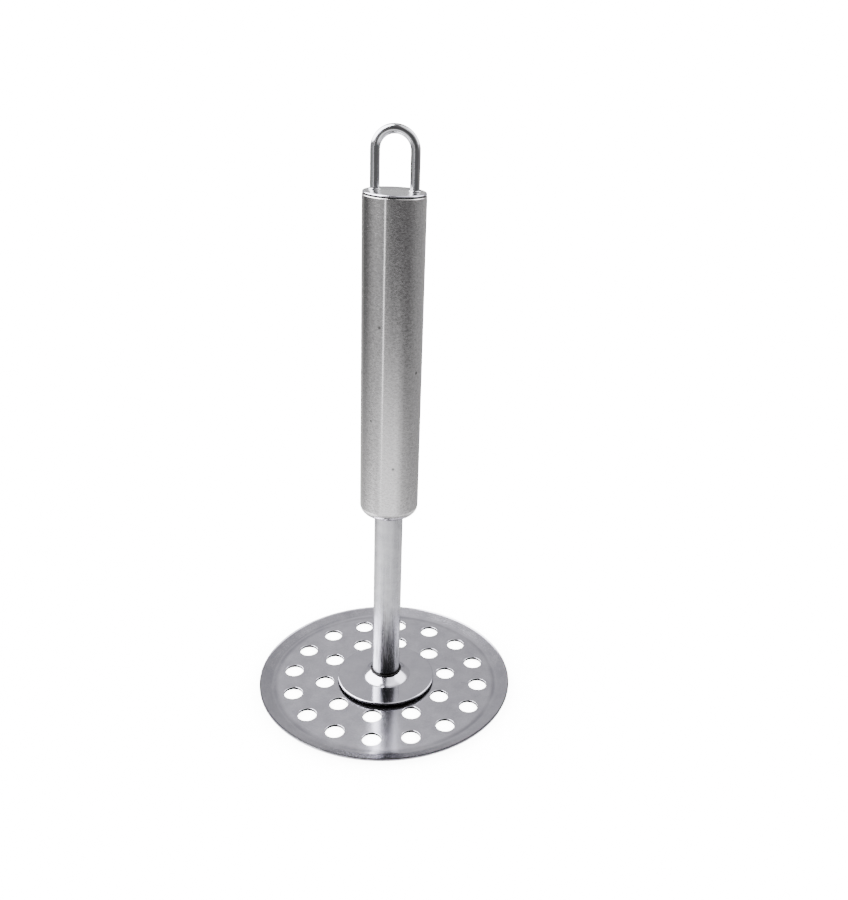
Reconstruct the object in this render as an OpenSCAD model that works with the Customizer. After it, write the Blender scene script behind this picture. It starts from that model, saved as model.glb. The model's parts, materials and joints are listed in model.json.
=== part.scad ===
// Potato masher in stainless steel: a round perforated plate, a pressed flange,
// a tubular stem, a hollow handle with an end cap, and a wire hanging loop.
// Millimetres, +Z up. The origin is the centre of the face that the plate rests
// on, and X runs along the span of the hanging loop.

/* [Mashing plate] */
// Outer diameter of the plate
plate_d = 98; // [80:1:120]
// Thickness of the plate's sheet
plate_t = 1; // [0.8:0.1:1.5]
// Width of the turned-up brim
brim_w = 6; // [3:0.5:7]
// Height of the brim's outer edge above the flat web
brim_rise = 1.7; // [0.5:0.1:3]
// Height of the pressed-up pad that carries the flange
pad_rise = 1.05; // [0.6:0.05:2]
// Width of the step between the web and the pad
pad_step_w = 1.1; // [0.6:0.1:1.5]

/* [Plate holes] */
// Diameter of each punched hole
hole_d = 7; // [5:0.1:8.4]
// Number of holes in the outer ring
outer_holes = 16; // [8:1:18]
// Number of holes in the inner ring
inner_holes = 10; // [5:1:12]
// Turn of the inner ring against the hanging loop, in degrees
inner_turn = 13.7; // [0:0.1:36]
// Part of the spare web that lies inside the inner ring
inner_web_share = 0.16; // [0.1:0.01:0.25]
// Part of the spare web that lies outside the outer ring
outer_web_share = 0.28; // [0.15:0.01:0.35]

/* [Flange] */
// Outer diameter of the flange
flange_d = 37.6; // [30:0.1:45]
// Thickness of the flange's sheet
flange_t = 0.9; // [0.7:0.1:1.2]
// Width of the raised neck, from its foot to the stem
neck_w = 4.3; // [2.5:0.1:5.5]
// Height of the neck above the flat part of the flange
neck_rise = 2.6; // [1.5:0.1:4]
// How far the pad stays inside the flange's rim
pad_inset = 3.3; // [1.5:0.1:4]

/* [Stem] */
// Outer diameter of the stem tube
stem_d = 10.4; // [8:0.1:12.2]
// Wall of the stem tube
stem_wall = 0.8; // [0.6:0.1:1.2]
// Length of the stem between the pad and the handle
stem_free = 73.35; // [50:0.05:100]
// Length of the stem inside the handle
stem_reach = 28; // [15:1:40]

/* [Handle] */
// Outer diameter of the handle tube
handle_d = 21; // [17.5:0.1:26]
// Wall of the handle tube
handle_wall = 0.7; // [0.5:0.1:1]
// Length of the handle tube
handle_len = 113.8; // [90:0.1:140]
// Outer radius of the drawn-in lower corner
handle_corner = 3.5; // [1.5:0.1:3.6]
// Rounding of the handle tube's upper edge
handle_edge = 0.35; // [0.1:0.05:0.45]
// Thickness of the guide ring inside the handle
guide_t = 3; // [1.5:0.1:5]
// Distance from the top of the stem down to the guide ring
guide_drop = 1; // [0:0.1:5]

/* [End cap] */
// Height of the cap's rim above the handle tube
cap_rim_h = 1; // [0.7:0.1:2]
// Rounding of the cap's upper edge
cap_edge = 0.5; // [0.2:0.05:0.6]
// Height of the cap's shallow dome
cap_dome = 0.4; // [0.1:0.1:1]
// Depth of the cap's skirt inside the handle
cap_skirt = 6; // [3:0.5:12]
// Wall of the cap
cap_wall = 1; // [0.6:0.1:1.2]
// Step from the handle's side in to the cap's side
cap_step = 0.1; // [0:0.05:0.3]

/* [Hanging loop] */
// Diameter of the loop's wire
wire_d = 3.2; // [2.6:0.1:3.8]
// Distance from the cap's rim to the centre of each leg
leg_inset = 3.95; // [3.6:0.05:5]
// Height of the loop above the cap's rim
loop_h = 20.6; // [14:0.1:30]
// Length of each leg below the cap's top face
leg_tail = 4; // [2:0.5:8]

/* [Welds] */
// Size of the bead where the stem enters the flange
stem_bead = 0.9; // [0.5:0.1:1.2]
// Size of the bead where the stem enters the handle
neck_bead = 1; // [0.5:0.1:1.4]
// Width of the bead round each leg of the loop
leg_bead = 0.7; // [0.3:0.1:0.8]
// Diameter of each spot weld between flange and pad
spot_d = 4; // [2.5:0.1:4.2]
// Depth of each spot weld into either sheet
spot_depth = 0.4; // [0.2:0.05:0.5]
// Number of spot welds
spot_count = 4; // [3:1:6]

/* [Fits] */
// Radial clearance of the stem in the flange and in the handle's neck
stem_clear = 0.05; // [0.02:0.01:0.1]
// Radial clearance of the cap's skirt and of the guide ring in the handle
handle_clear = 0.03; // [0.02:0.01:0.08]
// Radial clearance of the loop's legs in the cap
leg_clear = 0.05; // [0.02:0.01:0.1]

/* [Hidden] */
$fn = 96;
eps = 0.5;                 // how far a cutting tool runs past a face
arc_steps = 8;             // straight steps along a rounded profile
neck_flat = 0.1;           // narrowest flat kept round the hole in the handle's neck

plate_r = plate_d / 2;
flat_r = plate_r - brim_w;
flange_r = flange_d / 2;
pad_r = flange_r - pad_inset;
pad_z = plate_t + pad_rise;

// The spare web is what the two rings of holes leave between flange and brim.
spare_web = flat_r - flange_r - 2 * hole_d;
inner_ring_r = flange_r + inner_web_share * spare_web + hole_d / 2;
outer_ring_r = flat_r - outer_web_share * spare_web - hole_d / 2;

stem_r = stem_d / 2;
stem_hole_r = stem_r + stem_clear;
flange_z = pad_z + flange_t;
neck_foot_r = stem_hole_r + neck_w;
neck_curve = 1.35;         // how hollow the neck's slope is; 1 is a plain cone
bend_share = 0.35;         // part of the brim's width that is bend, not slope
spot_r = (neck_foot_r + pad_r) / 2;

handle_r = handle_d / 2;
handle_in_r = handle_r - handle_wall;
handle_z = pad_z + stem_free;
handle_top_z = handle_z + handle_len;
stem_top_z = handle_z + stem_reach;
guide_z = stem_top_z - guide_drop - guide_t;
guide_r = handle_in_r - handle_clear;

corner_r = min(handle_corner, handle_r - stem_hole_r - neck_flat);

cap_r = handle_r - cap_step;
cap_plug_r = handle_in_r - handle_clear;
cap_top_z = handle_top_z + cap_rim_h;
wire_r = wire_d / 2;
leg_hole_r = wire_r + leg_clear;
arch_r = cap_r - leg_inset;
arch_z = cap_top_z + loop_h - wire_r - arch_r;
leg_end_z = cap_top_z - leg_tail;

// Points on an arc round [x, y], from angle a0 to angle a1.
function arc(x, y, r, a0, a1) = [
    for (i = [0 : arc_steps])
        let (a = a0 + (a1 - a0) * i / arc_steps)
        [x + r * cos(a), y + r * sin(a)]
];

// Height of the brim above the web at a share u of its width:
// a parabola through the bend, then a straight slope.
function brim_height(u) =
    brim_rise * (u < bend_share ? u * u / (2 * bend_share) : u - bend_share / 2)
    / (1 - bend_share / 2);

brim_line = [
    for (i = [0 : arc_steps])
        [flat_r + brim_w * i / arc_steps, brim_height(i / arc_steps)]
];

// Height of the flange's upper face at radius r.
function flange_height(r) =
    flange_z + neck_rise
    * pow(max(0, (neck_foot_r - r) / (neck_foot_r - stem_hole_r)), neck_curve);

// The neck's slope, from radius r0 to radius r1.
function neck_line(r0, r1) = [
    for (i = [0 : arc_steps])
        let (r = r0 + (r1 - r0) * i / arc_steps)
        [r, flange_height(r)]
];

// Height of the cap's shallow dome at radius r.
function cap_height(r) =
    cap_top_z + cap_dome * (1 - pow(r / (cap_r - cap_edge), 2));

function lifted(points, dz) = [for (p = points) [p[0], p[1] + dz]];

function reversed(points) =
    [for (i = [len(points) - 1 : -1 : 0]) points[i]];

// One copy of the children at each of n even places on a circle.
module ring_of(n, r, turn = 0) {
    for (i = [0 : n - 1])
        rotate(turn + 360 * i / n)
            translate([r, 0, 0])
                children();
}

module at_legs() {
    for (side = [-1, 1])
        translate([side * arch_r, 0, 0])
            children();
}

// All spot welds, in the place where flange and pad meet.
module spot_weld_solids() {
    ring_of(spot_count, spot_r, 180 / spot_count)
        translate([0, 0, pad_z - spot_depth])
            cylinder(r = spot_d / 2, h = 2 * spot_depth);
}

module mashing_plate() {
    top = concat(
        [[0, pad_z], [pad_r, pad_z], [pad_r + pad_step_w, plate_t]],
        lifted(brim_line, plate_t)
    );
    bottom = concat(
        reversed(brim_line),
        [[pad_r + pad_step_w, 0], [pad_r, pad_rise], [0, pad_rise]]
    );
    color("#9c9ca4")
        difference() {
            rotate_extrude() polygon(concat(top, bottom));
            ring_of(outer_holes, outer_ring_r)
                translate([0, 0, -eps])
                    cylinder(r = hole_d / 2, h = plate_t + 2 * eps);
            ring_of(inner_holes, inner_ring_r, inner_turn)
                translate([0, 0, -eps])
                    cylinder(r = hole_d / 2, h = plate_t + 2 * eps);
            spot_weld_solids();
        }
}

module flange_disc() {
    neck = neck_line(neck_foot_r, stem_hole_r);
    rotate_extrude()
        polygon(concat(
            [[flange_r, pad_z], [flange_r, flange_z]],
            neck,
            lifted(reversed(neck), -flange_t)
        ));
}

module flange() {
    color("#a8a8ae")
        difference() {
            flange_disc();
            spot_weld_solids();
        }
}

module spot_welds() {
    color("#8b8a90") spot_weld_solids();
}

module stem_tube() {
    color("#b9b9bd")
        translate([0, 0, pad_z])
            difference() {
                cylinder(r = stem_r, h = stem_top_z - pad_z);
                translate([0, 0, -eps])
                    cylinder(r = stem_r - stem_wall, h = stem_top_z - pad_z + 2 * eps);
            }
}

// A hollow-faced bead that fills the corner between the stem and the neck.
module stem_weld() {
    foot_r = stem_hole_r + stem_bead;
    foot_z = flange_height(foot_r);
    top_z = flange_height(stem_hole_r) + stem_bead;
    color("#77767b")
        difference() {
            rotate_extrude()
                polygon([
                    [stem_r, flange_height(stem_hole_r)],
                    [stem_hole_r, foot_z],
                    [foot_r, foot_z],
                    [(stem_r + foot_r) / 2, (foot_z + top_z) / 2 - stem_bead / 8],
                    [stem_r, top_z]
                ]);
            flange_disc();
        }
}

module handle_tube() {
    corner_x = handle_r - corner_r;
    corner_z = handle_z + corner_r;
    edge_x = handle_r - handle_edge;
    edge_z = handle_top_z - handle_edge;
    color("#a3a3a0")
        rotate_extrude()
            polygon(concat(
                [[stem_hole_r, handle_z]],
                arc(corner_x, corner_z, corner_r, -90, 0),
                arc(edge_x, edge_z, handle_edge, 0, 90),
                [[handle_in_r, handle_top_z]],
                arc(corner_x, corner_z, corner_r - handle_wall, 0, -90),
                [[stem_hole_r, handle_z + handle_wall]]
            ));
}

// A bead under the handle, in the corner that its neck makes with the stem.
module handle_neck_weld() {
    color("#77767b")
        rotate_extrude()
            polygon(concat(
                [[stem_r, handle_z]],
                arc(stem_r + neck_bead, handle_z - neck_bead, neck_bead, 90, 180)
            ));
}

module stem_guide_ring() {
    color("#8b8a90")
        translate([0, 0, guide_z])
            difference() {
                cylinder(r = guide_r, h = guide_t);
                translate([0, 0, -eps])
                    cylinder(r = stem_hole_r, h = guide_t + 2 * eps);
            }
}

module end_cap() {
    face_r = cap_r - cap_edge;
    dome = [
        for (i = [0 : arc_steps])
            let (r = face_r * i / arc_steps)
            [r, cap_height(r)]
    ];
    rim = arc(face_r, cap_top_z - cap_edge, cap_edge, 90, 0);
    skirt_z = handle_top_z - cap_skirt;
    color("#b4b4b8")
        difference() {
            rotate_extrude()
                polygon(concat(
                    dome,
                    rim,
                    [
                        [cap_r, handle_top_z],
                        [cap_plug_r, handle_top_z],
                        [cap_plug_r, skirt_z],
                        [cap_plug_r - cap_wall, skirt_z],
                        [cap_plug_r - cap_wall, cap_top_z - cap_wall],
                        [0, cap_top_z - cap_wall]
                    ]
                ));
            at_legs()
                translate([0, 0, leg_end_z])
                    cylinder(r = leg_hole_r, h = leg_tail + cap_dome + eps);
        }
}

module hanging_loop() {
    color("#8f8f92") {
        translate([0, 0, arch_z])
            rotate([90, 0, 0])
                rotate_extrude(angle = 180)
                    translate([arch_r, 0])
                        circle(r = wire_r);
        at_legs()
            translate([0, 0, leg_end_z])
                cylinder(r = wire_r, h = arch_z - leg_end_z);
    }
}

// A low bead round each leg, standing on the cap's dome.
module loop_leg_welds() {
    color("#c4c4c8")
        difference() {
            at_legs()
                translate([0, 0, cap_top_z])
                    difference() {
                        cylinder(
                            r1 = leg_hole_r + leg_bead,
                            r2 = leg_hole_r + leg_bead / 3,
                            h = cap_dome + leg_bead
                        );
                        translate([0, 0, -eps])
                            cylinder(r = wire_r, h = cap_dome + leg_bead + 2 * eps);
                    }
            end_cap();
        }
}

mashing_plate();
flange();
spot_welds();
stem_tube();
stem_weld();
handle_tube();
handle_neck_weld();
stem_guide_ring();
end_cap();
hanging_loop();
loop_leg_welds();
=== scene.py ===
"""Looks of a stainless steel potato masher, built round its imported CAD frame.

The plate is a pressed and punched disc, the flange a small pressed seat, the stem
and the handle are drawn tubes, the cap is pressed and the hanging loop is bent
wire. All sizes come from the frame, in metres, and every piece rides on the one
body that the masher has.
"""

from __future__ import annotations

import json
import logging
import math
from collections.abc import Callable
from dataclasses import dataclass, field
from enum import Enum
from typing import Any

import bmesh
import bpy
from mathutils import Matrix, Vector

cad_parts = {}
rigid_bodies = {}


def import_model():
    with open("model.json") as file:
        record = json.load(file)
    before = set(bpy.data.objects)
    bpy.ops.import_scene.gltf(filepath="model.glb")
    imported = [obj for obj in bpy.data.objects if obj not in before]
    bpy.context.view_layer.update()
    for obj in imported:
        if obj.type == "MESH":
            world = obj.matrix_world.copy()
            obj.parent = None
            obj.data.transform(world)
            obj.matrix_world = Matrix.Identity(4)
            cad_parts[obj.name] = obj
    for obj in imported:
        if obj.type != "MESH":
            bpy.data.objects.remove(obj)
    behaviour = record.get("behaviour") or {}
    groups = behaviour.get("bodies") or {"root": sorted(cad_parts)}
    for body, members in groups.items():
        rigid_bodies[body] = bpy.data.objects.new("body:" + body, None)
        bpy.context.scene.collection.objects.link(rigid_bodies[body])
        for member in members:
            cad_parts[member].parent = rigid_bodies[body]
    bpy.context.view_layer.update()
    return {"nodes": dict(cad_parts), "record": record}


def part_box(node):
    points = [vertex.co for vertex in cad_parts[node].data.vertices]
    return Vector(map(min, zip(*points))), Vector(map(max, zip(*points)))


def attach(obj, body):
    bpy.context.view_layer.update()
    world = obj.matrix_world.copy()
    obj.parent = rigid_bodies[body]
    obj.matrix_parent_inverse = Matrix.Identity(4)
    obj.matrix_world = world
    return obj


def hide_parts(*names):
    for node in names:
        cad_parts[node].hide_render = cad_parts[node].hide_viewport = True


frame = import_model()

log = logging.getLogger("masher")

MM = 0.001
BODY = "root"
# A profile point nearer than this to the axis lies on it.
ON_AXIS = 1e-9

Point = tuple[float, float]
Piece = bpy.types.Object
Face = bpy.types.MeshPolygon
Material = bpy.types.Material
Node = bpy.types.Node
Socket = bpy.types.NodeSocket
Source = Node | Socket
Tree = bpy.types.NodeTree
Stretch = tuple[float, float, float]


# ---- Shared helpers ----


def linear(hex_colour: str) -> tuple[float, float, float, float]:
    """Turn an sRGB hex colour into linear light.

    Args:
        hex_colour: A colour such as "#9c9ca4".

    Returns:
        Red, green, blue and alpha, linear.
    """
    channels = [int(hex_colour[i : i + 2], 16) / 255 for i in (1, 3, 5)]
    lit = [c / 12.92 if c <= 0.04045 else ((c + 0.055) / 1.055) ** 2.4 for c in channels]
    return (lit[0], lit[1], lit[2], 1.0)


def output_of(source: Source) -> Socket:
    """Return a socket itself, or a node's first output that is in use."""
    if isinstance(source, Socket):
        return source
    return next(socket for socket in source.outputs if socket.enabled)


def add_node(tree: Tree, kind: str, *feeds: Any, **named: Any) -> Node:
    """Add a node with its settings and links.

    Args:
        tree: The tree that gets the node.
        kind: The node's type name, less "ShaderNode" or "GeometryNode".
        feeds: What its inputs get, in order: values, or the nodes and sockets that
            feed them.
        named: Its properties, and what other inputs get, by name in small letters.

    Returns:
        The new node.
    """
    family = "GeometryNode" if hasattr(bpy.types, "GeometryNode" + kind) else "ShaderNode"
    node = tree.nodes.new(family + kind)
    inputs: list[tuple[Socket, Any]] = []
    for key, value in named.items():
        label = key.replace("_", " ").title()
        if label in node.inputs:
            inputs.append((node.inputs[label], value))
        else:
            setattr(node, key, value)
    inputs += zip([socket for socket in node.inputs if socket.enabled], feeds)
    for socket, value in inputs:
        if isinstance(value, (Node, Socket)):
            tree.links.new(output_of(value), socket)
        else:
            socket.default_value = value
    return node


def axis_distance(tree: Tree, place: Source) -> Node:
    """Add nodes for the distance of a place from the Z axis."""
    flat = add_node(tree, "VectorMath", place, (1.0, 1.0, 0.0), operation="MULTIPLY")
    return add_node(tree, "VectorMath", flat, operation="LENGTH")


def bearing(tree: Tree, place: Source, start: float) -> Node:
    """Add nodes for the direction of a place round the Z axis.

    Args:
        tree: The tree that gets them.
        place: The place.
        start: Direction that counts as nought, in radians from +X towards +Y.

    Returns:
        The node that gives the direction in radians, from -pi to pi.
    """
    turned = add_node(tree, "VectorRotate", place, rotation_type="Z_AXIS", angle=-start)
    axes = add_node(tree, "SeparateXYZ", turned).outputs
    return add_node(tree, "Math", axes["Y"], axes["X"], operation="ARCTAN2")


def evenly(start: float, end: float, steps: int) -> list[float]:
    """Return evenly spaced values, one more than the steps, with both ends."""
    return [start + (end - start) * i / steps for i in range(steps + 1)]


def arc(centre: Point, radius: float, start: float, end: float, steps: int) -> list[Point]:
    """Points on an arc of a profile.

    Args:
        centre: Radius and height of the arc's centre.
        radius: The arc's own radius.
        start: First angle in degrees, from the outward direction.
        end: Last angle in degrees.
        steps: Number of straight steps.

    Returns:
        The points, both ends included.
    """
    turns = [math.radians(angle) for angle in evenly(start, end, steps)]
    return [(centre[0] + radius * math.cos(t), centre[1] + radius * math.sin(t)) for t in turns]


def reach_of(face: Face) -> float:
    """Return how far a face's middle lies from the Z axis."""
    return math.hypot(face.center.x, face.center.y)


def blank_object(name: str) -> Piece:
    """Return an empty mesh object, linked to the scene."""
    made = bpy.data.objects.new(name, bpy.data.meshes.new(name))
    bpy.context.scene.collection.objects.link(made)
    return made


def lathe(name: str, profile: list[Point], segments: int) -> Piece:
    """Turn a closed profile round the Z axis into a closed shell.

    Args:
        name: Name of the new object.
        profile: Radius and height of each point; the last joins the first.
        segments: Number of steps round the axis.

    Returns:
        The object, linked to the scene.
    """
    shell = bmesh.new()
    turns = evenly(0.0, math.tau, segments)[:-1]
    columns = []
    for radius, height in profile:
        if radius < ON_AXIS:
            columns.append([shell.verts.new((0.0, 0.0, height))] * segments)
            continue
        places = [(radius * math.cos(t), radius * math.sin(t), height) for t in turns]
        columns.append([shell.verts.new(place) for place in places])
    for here, there in zip(columns, columns[1:] + columns[:1]):
        for i in range(segments):
            after = (i + 1) % segments
            corners = list(dict.fromkeys([here[i], here[after], there[after], there[i]]))
            if len(corners) > 2:
                shell.faces.new(corners)
    bmesh.ops.recalc_face_normals(shell, faces=shell.faces)
    made = blank_object(name)
    shell.to_mesh(made.data)
    shell.free()
    return made


def freeze(source: Piece) -> None:
    """Turn an object's modifiers into a plain mesh.

    Args:
        source: The object, which keeps its name and loses its modifiers.
    """
    graph = bpy.context.evaluated_depsgraph_get()
    graph.update()
    mesh = bpy.data.meshes.new_from_object(source.evaluated_get(graph))
    old = source.data
    source.modifiers.clear()
    source.data = mesh
    mesh.name = source.name
    for place in reversed(range(len(mesh.materials))):
        if mesh.materials[place] is None:
            mesh.materials.pop(index=place)
    if old.users == 0:
        bpy.data.meshes.remove(old)


def hand_over(piece: Piece, slot: str, *nodes: str) -> None:
    """Shade a finished piece and put it on the body in place of its CAD nodes.

    Args:
        piece: The finished mesh object, whose large flat faces stay truly flat.
        slot: The record's material slot; not used.
        nodes: The CAD nodes that it stands for.
    """
    for face in piece.data.polygons:
        face.use_smooth = True
    weighting = piece.modifiers.new("even shading", "WEIGHTED_NORMAL")
    weighting.mode = "FACE_AREA_WITH_ANGLE"
    weighting.weight = 90
    freeze(piece)
    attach(piece, BODY)
    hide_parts(*nodes)
    log.info("%s: %d faces, stands for %s", piece.name, len(piece.data.polygons), nodes)


# ---- Finishes ----


class Grain(Enum):
    """Direction in which the finishing marks run: stretch along X, Y and Z."""

    ALONG_TUBE = (1.0, 1.0, 0.012)
    ROUND_TUBE = (0.03, 0.03, 1.0)
    BUFFED_ROUND = (0.3, 0.3, 1.0)
    NONE = (1.0, 1.0, 1.0)


@dataclass(frozen=True)
class Stain:
    """Dark streaks that run up a tube from its foot, on one side of it.

    Attributes:
        colour: Reflected colour where the streaks are darkest.
        foot_mm: Height at which they are darkest.
        top_mm: Height at which they have run out.
        turn: Direction of their middle, in degrees from +X towards +Y.
        spread: Degrees to either side over which they fade.
        full_share: Part of the spread in which they are at their full strength.
        streak_mm: Width of one streak.
        streak_stretch: Stretch of the streaks along X, Y and Z.
        cover: Where the streaks begin to show and where they cover fully.
    """

    colour: str
    foot_mm: float
    top_mm: float
    turn: float
    spread: float
    full_share: float = 0.3
    streak_mm: float = 0.5
    streak_stretch: Stretch = (1.0, 1.0, 0.05)
    cover: Point = (0.62, 1.36)


@dataclass(frozen=True)
class PressRing:
    """A soft dark ring of painted reflection at a sheet's bend, and painted shade on the sheet past
    it.

    Attributes:
        radius_mm: Radius of the ring round the Z axis.
        width_mm: Distance to either side over which it fades.
        shade: Colour of the painted shade.
        depth: Share of that shade on the ring itself, where it is strongest.
        beyond: Share of it on the sheet outside the ring.
        patch_mm: Size of the stretches where the painted shade is stronger or weaker.
    """

    radius_mm: float
    width_mm: float
    shade: str
    depth: float
    beyond: float
    patch_mm: float = 22.0


@dataclass(frozen=True)
class SteelFinish:
    """One finish of 18/8 stainless steel.

    Attributes:
        name: What the finish is called in a workshop.
        colour: Reflected colour where the surface is clean.
        shade: Reflected colour in the dull patches.
        roughness: Mean roughness.
        roughness_swing: How far the marks move the roughness either way.
        grain: Direction of the finishing marks.
        grain_mm: Width of one mark.
        mark_depth_mm: Depth of the marks in the bump.
        patch_mm: Size of the dull patches.
        wave_mm: Size of the slow waves left by rolling and pressing.
        wave_depth_mm: Height of those waves.
        anisotropy: How much the marks stretch a reflection.
        turn: Turn of the stretched reflection, as a share of a full turn.
        pit_mm: Spacing of the tiny dark pits, or 0 for none.
        stain: Dark streaks low on one side of a tube, or None.
        pressed: The painted dark ring at a bend and the painted shade past it, or None.
    """

    name: str
    colour: str
    shade: str
    roughness: float
    roughness_swing: float
    grain: Grain
    grain_mm: float
    mark_depth_mm: float
    patch_mm: float
    wave_mm: float = 30.0
    wave_depth_mm: float = 0.0
    anisotropy: float = 0.0
    turn: float = 0.0
    pit_mm: float = 0.0
    stain: Stain | None = None
    pressed: PressRing | None = None


# Shares of marks and patches in the mottle, and the part of their sum that shows.
MARK_SHARE, PATCH_SHARE = 0.45, 0.55
MOTTLE_RANGE = (0.36, 0.64)
# Part of the plain sum of marks and patches that moves the roughness.
SWING_RANGE = (0.7, 1.3)
# Edge of a pit, as shares of the pits' spacing, and how dark it is inside.
PIT_EDGE = (0.035, 0.07)
PIT_LEVEL = 0.35
# Range of the noise that weakens the painted shade at a bend, and how weak it gets.
BEND_SHADE_RANGE = (0.35, 0.6)
BEND_SHADE_LEAST = 0.35


class Coat:
    """The node material of one finish, drawn layer by layer."""

    def __init__(self, finish: SteelFinish) -> None:
        """Start the material of a finish."""
        self.finish = finish
        self.material = bpy.data.materials.new(finish.name)
        self.material.use_nodes = True
        self.tree = self.material.node_tree
        self.place = self.add("TexCoord").outputs["Object"]
        self.marks = self.noise(finish.grain_mm, 3.0, finish.grain.value)
        self.patches = self.noise(finish.patch_mm, 4.0)

    def add(self, kind: str, *feeds: Any, **named: Any) -> Node:
        """Add a node to this material."""
        return add_node(self.tree, kind, *feeds, **named)

    def noise(self, size_mm: float, detail: float, stretch: Stretch | None = None) -> Node:
        """Add noise of a feature size, stretched along the axes if asked."""
        place = self.add("Mapping", self.place, scale=stretch) if stretch else self.place
        scale = 1.0 / (size_mm * MM)
        return self.add("TexNoise", place, scale=scale, detail=detail, roughness=0.55)

    def draw(self) -> Material:
        """Draw every layer and return the material."""
        finish = self.finish
        colour = self.mottled()
        if finish.pit_mm:
            colour = self.pitted(colour)
        if finish.stain:
            colour = self.stained(colour, finish.stain)
        # Painted shade: a dark ring at the bend of the sheet, and a darker sheet past it.
        if finish.pressed:
            colour = self.rubbed(colour, finish.pressed)
        inputs = self.tree.nodes["Principled BSDF"].inputs
        inputs["Metallic"].default_value = 1.0
        inputs["Anisotropic"].default_value = finish.anisotropy
        inputs["Anisotropic Rotation"].default_value = finish.turn
        feeds = {"Base Color": colour, "Roughness": self.roughness(), "Normal": self.bump()}
        if finish.anisotropy:
            feeds["Tangent"] = self.add("Tangent", direction_type="RADIAL", axis="Z")
        for label, source in feeds.items():
            self.tree.links.new(output_of(source), inputs[label])
        return self.material

    def mottled(self) -> Node:
        """Mix the clean and the dull colour by marks and patches."""
        weighted = self.add("Math", self.patches, PATCH_SHARE, operation="MULTIPLY")
        blend = self.add("Math", self.marks, MARK_SHARE, weighted, operation="MULTIPLY_ADD")
        spread = self.add("MapRange", blend, *MOTTLE_RANGE)
        dull, clean = linear(self.finish.shade), linear(self.finish.colour)
        return self.add("Mix", spread, dull, clean, data_type="RGBA")

    def pitted(self, clean: Node) -> Node:
        """Darken the colour in tiny pits."""
        scale = 1.0 / (self.finish.pit_mm * MM)
        pits = self.add("TexVoronoi", self.place, scale=scale, randomness=1.0)
        darken = self.add("MapRange", pits, *PIT_EDGE, PIT_LEVEL, 1.0)
        return self.add("Mix", 1.0, clean, darken, data_type="RGBA", blend_type="MULTIPLY")

    def stained(self, clean: Node, stain: Stain) -> Node:
        """Draw the dark streaks over the clean colour, darkest low down and on one side."""
        height = self.add("SeparateXYZ", self.place).outputs["Z"]
        low = self.add("MapRange", height, stain.top_mm * MM, stain.foot_mm * MM)
        turn = bearing(self.tree, self.place, math.radians(stain.turn))
        aside = self.add("Math", turn, operation="ABSOLUTE")
        ends = [math.radians(stain.spread * share) for share in (1.0, stain.full_share)]
        side = self.add("MapRange", aside, *ends, interpolation_type="SMOOTHSTEP")
        streaks = self.noise(stain.streak_mm, 3.0, stain.streak_stretch)
        edge = self.add("Math", low, side, streaks, operation="MULTIPLY_ADD")
        cover = self.add("MapRange", edge, *stain.cover)
        return self.add("Mix", cover, clean, linear(stain.colour), data_type="RGBA")

    def rubbed(self, clean: Node, ring: PressRing) -> Node:
        """Paint the dark ring of reflection at the bend, and shade on the sheet past it, over the
        clean colour.
        """
        radius, width = ring.radius_mm * MM, ring.width_mm * MM
        reach = axis_distance(self.tree, self.place)
        aside = self.add("Math", reach, radius, operation="SUBTRACT")
        away = self.add("Math", aside, operation="ABSOLUTE")
        soft = {"interpolation_type": "SMOOTHSTEP"}
        line = self.add("MapRange", away, width, 0.0, 0.0, ring.depth, **soft)
        strength = self.add("MapRange", self.noise(ring.patch_mm, 1.0), *BEND_SHADE_RANGE, BEND_SHADE_LEAST)
        shaded_line = self.add("Math", line, strength, operation="MULTIPLY")
        past = self.add("MapRange", reach, radius - width, radius + width, 0.0, ring.beyond, **soft)
        cover = self.add("Math", shaded_line, past, operation="MAXIMUM")
        return self.add("Mix", cover, clean, linear(ring.shade), data_type="RGBA")

    def roughness(self) -> Node:
        """Move the roughness with the marks and the patches."""
        both = self.add("Math", self.marks, self.patches, operation="ADD")
        mean, swing = self.finish.roughness, self.finish.roughness_swing
        return self.add("MapRange", both, *SWING_RANGE, mean - swing, mean + swing)

    def bump(self) -> Node:
        """Raise the marks, on top of the slow waves where the finish has them."""
        marks = {"distance": self.finish.mark_depth_mm * MM, "height": self.marks}
        if self.finish.wave_depth_mm:
            waves = self.noise(self.finish.wave_mm, 0.0)
            rise = self.finish.wave_depth_mm * MM
            marks["normal"] = self.add("Bump", strength=1.0, distance=rise, height=waves)
        return self.add("Bump", strength=1.0, **marks)


# Rolled sheet, pressed, punched and then tumbled: a soft mirror with a fine mottle.
SHEET = SteelFinish(
    name="tumbled stainless sheet", colour="#d8d6e0", shade="#c0bec9",
    roughness=0.17, roughness_swing=0.035, grain=Grain.NONE, grain_mm=0.5,
    mark_depth_mm=0.0024, patch_mm=6.0, wave_mm=26.0, wave_depth_mm=0.05,
    # Painted shade: a dark ring of reflection where the web bends into the brim, and a darker brim
    # past it.
    pressed=PressRing(radius_mm=43.2, width_mm=1.8, shade="#85838c", depth=0.65, beyond=0.33),
)
# The same sheet after the buffing wheel: reflections are sharper and lighter.
BUFFED_SHEET = SteelFinish(
    name="buffed stainless sheet", colour="#d2d0da", shade="#bebcc8",
    roughness=0.12, roughness_swing=0.03, grain=Grain.NONE, grain_mm=0.3,
    mark_depth_mm=0.0008, patch_mm=7.0, wave_mm=16.0, wave_depth_mm=0.02,
)
# Drawn tube polished on a lathe: bands stay sharp round it and run out along it.
BRUSHED_TUBE = SteelFinish(
    name="fine brushed stainless tube", colour="#dcdadb", shade="#b9b7b8",
    roughness=0.16, roughness_swing=0.018, grain=Grain.BUFFED_ROUND, grain_mm=0.35,
    mark_depth_mm=0.0005, patch_mm=0.8, anisotropy=0.7, turn=0.25, pit_mm=9.0,
)
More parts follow.
